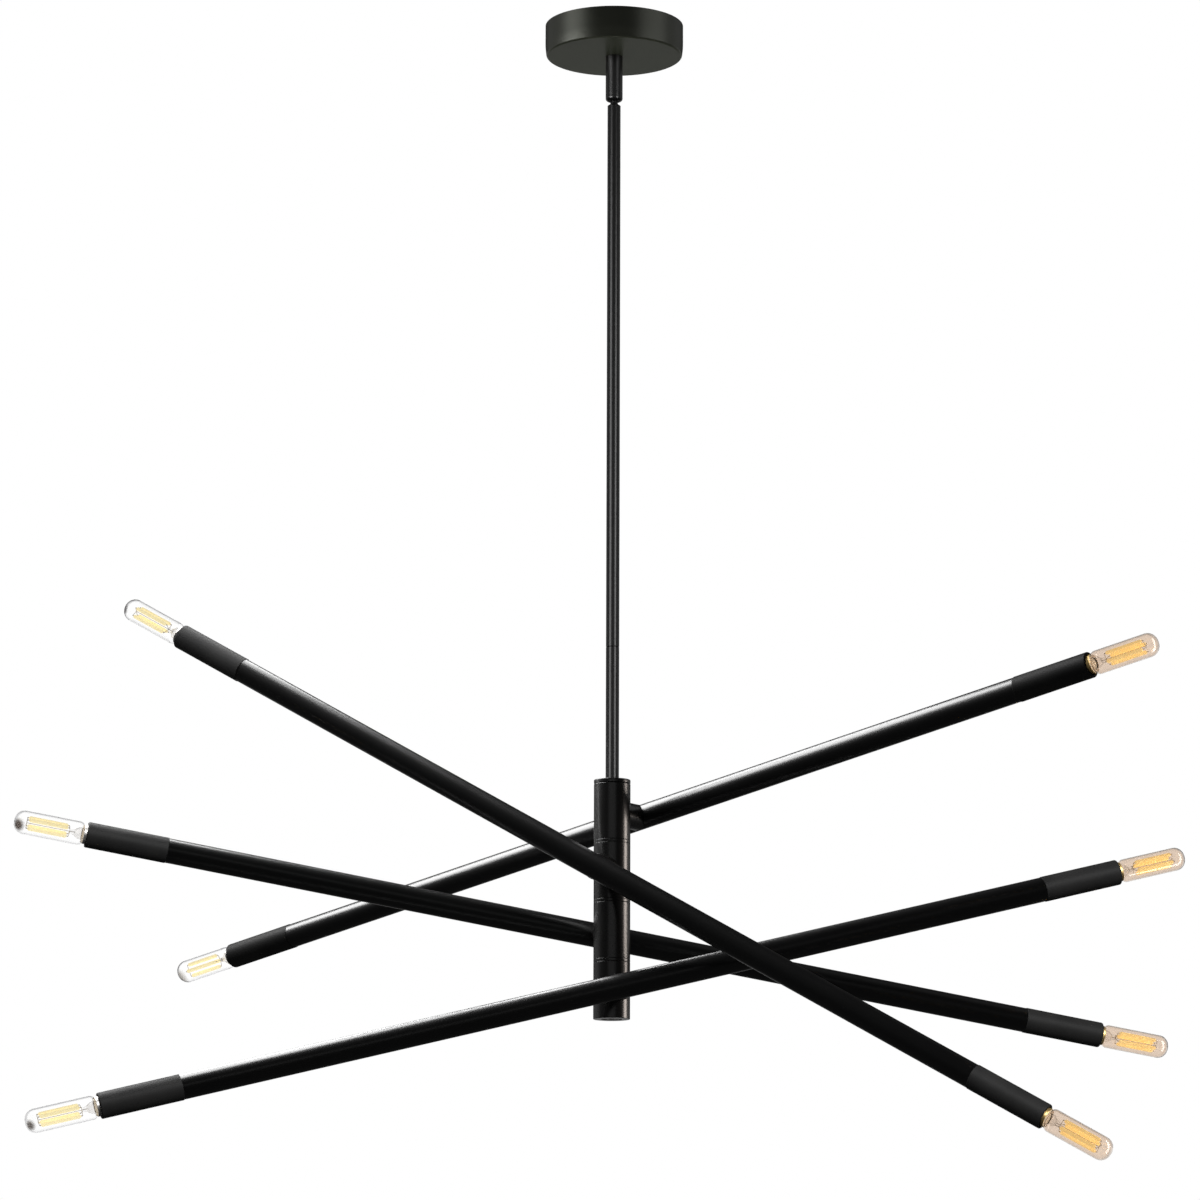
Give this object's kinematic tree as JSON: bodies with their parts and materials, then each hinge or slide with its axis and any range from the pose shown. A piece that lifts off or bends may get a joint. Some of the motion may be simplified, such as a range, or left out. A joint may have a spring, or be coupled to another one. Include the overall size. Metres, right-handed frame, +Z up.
{
  "type": "pendant light",
  "caption": "Black ceiling chandelier: canopy, ball swivel and down rod carry a column of turning hubs with hinged arms that end in tubular screw-in lamps.",
  "frame": {"origin": "centre of the ceiling strap's upper face, on the ceiling plane and on the axis the light hangs from", "axes": "+Z up into the ceiling, +X along the ceiling strap, the picture's viewer on the -Y side"},
  "size_m": [1.007, 0.569, 1.0138],
  "materials": {
    "black_satin": "satin black paint",
    "black_gloss": "gloss black paint",
    "black_matt": "matt black paint",
    "zinc_steel": "zinc plated",
    "seat_plastic": "moulded nylon",
    "socket_plastic": "moulded phenolic",
    "clear_glass": "clear",
    "base_brass": "rolled brass",
    "filament_yellow": "phosphor coating"
  },
  "bodies": {
    "ceiling_mount": {"canopy": "black_satin", "ceiling_strap": "zinc_steel", "canopy_stud": "zinc_steel", "swivel_housing": "black_satin"},
    "swivel_seat": {"swivel_seat": "seat_plastic"},
    "stem": {"ball_stem": "black_satin", "rod_upper": "black_satin", "rod_lower": "black_satin", "column_cap": "black_satin", "spacer_rings": "black_satin", "spine": "zinc_steel", "spine_nut": "zinc_steel"},
    "hub_1": {"hub_1": "black_satin"},
    "arm_1": {"arm_pivot_1": "black_satin", "pivot_nut_1": "zinc_steel", "arm_tube_1": "black_gloss", "socket_covers_1": "black_matt", "lamp_sockets_1": "socket_plastic"},
    "bulb_1": {"bulb_glass_1": "clear_glass", "bulb_base_1": "base_brass", "bulb_filament_1": "filament_yellow"},
    "bulb_2": {"bulb_glass_2": "clear_glass", "bulb_base_2": "base_brass", "bulb_filament_2": "filament_yellow"},
    "hub_2": {"hub_2": "black_satin"},
    "arm_2": {"arm_pivot_2": "black_satin", "pivot_nut_2": "zinc_steel", "arm_tube_2": "black_gloss", "socket_covers_2": "black_matt", "lamp_sockets_2": "socket_plastic"},
    "bulb_3": {"bulb_glass_3": "clear_glass", "bulb_base_3": "base_brass", "bulb_filament_3": "filament_yellow"},
    "bulb_4": {"bulb_glass_4": "clear_glass", "bulb_base_4": "base_brass", "bulb_filament_4": "filament_yellow"},
    "hub_3": {"hub_3": "black_satin"},
    "arm_3": {"arm_pivot_3": "black_satin", "pivot_nut_3": "zinc_steel", "arm_tube_3": "black_gloss", "socket_covers_3": "black_matt", "lamp_sockets_3": "socket_plastic"},
    "bulb_5": {"bulb_glass_5": "clear_glass", "bulb_base_5": "base_brass", "bulb_filament_5": "filament_yellow"},
    "bulb_6": {"bulb_glass_6": "clear_glass", "bulb_base_6": "base_brass", "bulb_filament_6": "filament_yellow"},
    "hub_4": {"hub_4": "black_satin"},
    "arm_4": {"arm_pivot_4": "black_satin", "pivot_nut_4": "zinc_steel", "arm_tube_4": "black_gloss", "socket_covers_4": "black_matt", "lamp_sockets_4": "socket_plastic"},
    "bulb_7": {"bulb_glass_7": "clear_glass", "bulb_base_7": "base_brass", "bulb_filament_7": "filament_yellow"},
    "bulb_8": {"bulb_glass_8": "clear_glass", "bulb_base_8": "base_brass", "bulb_filament_8": "filament_yellow"}
  },
  "joints": [
    {"name": "swivel_turn", "type": "hinge", "parent": "ceiling_mount", "child": "swivel_seat", "pos_m": [0, 0, -0.0646], "axis": [0, 0, 1], "continuous": true},
    {"name": "swivel_tilt", "type": "hinge", "parent": "swivel_seat", "child": "stem", "pos_m": [0, 0, -0.0646], "axis": [1, 0, 0], "range_deg": [-12, 12]},
    {"name": "hub_1_turn", "type": "hinge", "parent": "stem", "child": "hub_1", "pos_m": [0, 0, -0.70355], "axis": [0, 0, 1], "range_deg": [-128, 38]},
    {"name": "arm_1_tilt", "type": "hinge", "parent": "hub_1", "child": "arm_1", "pos_m": [0, 0, -0.70355], "axis": [0.5534, 0.8329, 0], "range_deg": [-48, 42]},
    {"name": "bulb_1_out", "type": "slide", "parent": "arm_1", "child": "bulb_1", "axis": [-0.8147, 0.5413, -0.2079], "range_m": [0, 0.024]},
    {"name": "bulb_2_out", "type": "slide", "parent": "arm_1", "child": "bulb_2", "axis": [0.8147, -0.5413, 0.2079], "range_m": [0, 0.024]},
    {"name": "hub_2_turn", "type": "hinge", "parent": "stem", "child": "hub_2", "pos_m": [0, 0, -0.75485], "axis": [0, 0, -1], "range_deg": [-18, 50]},
    {"name": "arm_2_tilt", "type": "hinge", "parent": "hub_2", "child": "arm_2", "pos_m": [0, 0, -0.75485], "axis": [-0.3649, -0.9311, 0], "range_deg": [-25, 28]},
    {"name": "bulb_3_out", "type": "slide", "parent": "arm_2", "child": "bulb_3", "axis": [-0.8111, 0.3179, 0.4909], "range_m": [0, 0.024]},
    {"name": "bulb_4_out", "type": "slide", "parent": "arm_2", "child": "bulb_4", "axis": [0.8111, -0.3179, -0.4909], "range_m": [0, 0.024]},
    {"name": "hub_3_turn", "type": "hinge", "parent": "stem", "child": "hub_3", "pos_m": [0, 0, -0.80615], "axis": [0, 0, 1], "range_deg": [-20, 124]},
    {"name": "arm_3_tilt", "type": "hinge", "parent": "hub_3", "child": "arm_3", "pos_m": [0, 0, -0.80615], "axis": [-0.1994, 0.9799, 0], "range_deg": [-70, 25]},
    {"name": "bulb_5_out", "type": "slide", "parent": "arm_3", "child": "bulb_5", "axis": [-0.9662, -0.1966, 0.1668], "range_m": [0, 0.024]},
    {"name": "bulb_6_out", "type": "slide", "parent": "arm_3", "child": "bulb_6", "axis": [0.9662, 0.1966, -0.1668], "range_m": [0, 0.024]},
    {"name": "hub_4_turn", "type": "hinge", "parent": "stem", "child": "hub_4", "pos_m": [0, 0, -0.85745], "axis": [0, 0, -1], "range_deg": [-20, 18]},
    {"name": "arm_4_tilt", "type": "hinge", "parent": "hub_4", "child": "arm_4", "pos_m": [0, 0, -0.85745], "axis": [0.2079, -0.9781, 0], "range_deg": [-75, 36]},
    {"name": "bulb_7_out", "type": "slide", "parent": "arm_4", "child": "bulb_7", "axis": [-0.9491, -0.2017, -0.2419], "range_m": [0, 0.024]},
    {"name": "bulb_8_out", "type": "slide", "parent": "arm_4", "child": "bulb_8", "axis": [0.9491, 0.2017, 0.2419], "range_m": [0, 0.024]}
  ]
}
